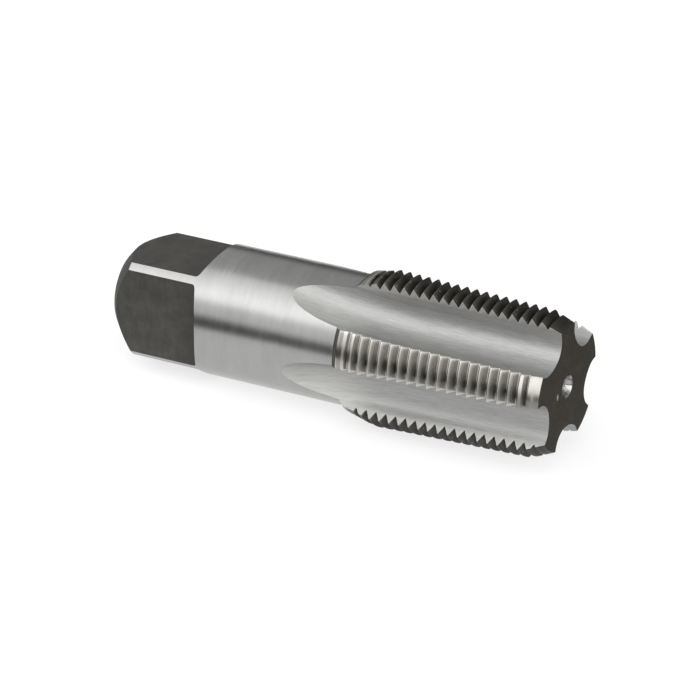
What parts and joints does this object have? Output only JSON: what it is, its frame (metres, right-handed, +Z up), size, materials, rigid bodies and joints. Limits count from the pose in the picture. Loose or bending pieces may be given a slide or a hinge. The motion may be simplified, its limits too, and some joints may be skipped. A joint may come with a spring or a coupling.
{
  "type": "taper pipe thread tap",
  "caption": "Steel pipe tap with a tapered cutting thread, straight flutes that run out into a round shank, and a driving square, lying on its side.",
  "frame": {"origin": "bottom middle of the tool's box as it lies on a flat table", "axes": "+X from the square end to the cutting end, +Z up; the tool's axis rises 2.09 degrees towards +X"},
  "size_m": [0.0838, 0.0272, 0.0265],
  "materials": {
    "tool_steel": "bright ground steel on the shank, flutes and threads, black oxide on the square and the front face"
  },
  "bodies": {
    "root": {"pipe_tap": "tool_steel"}
  },
  "joints": []
}
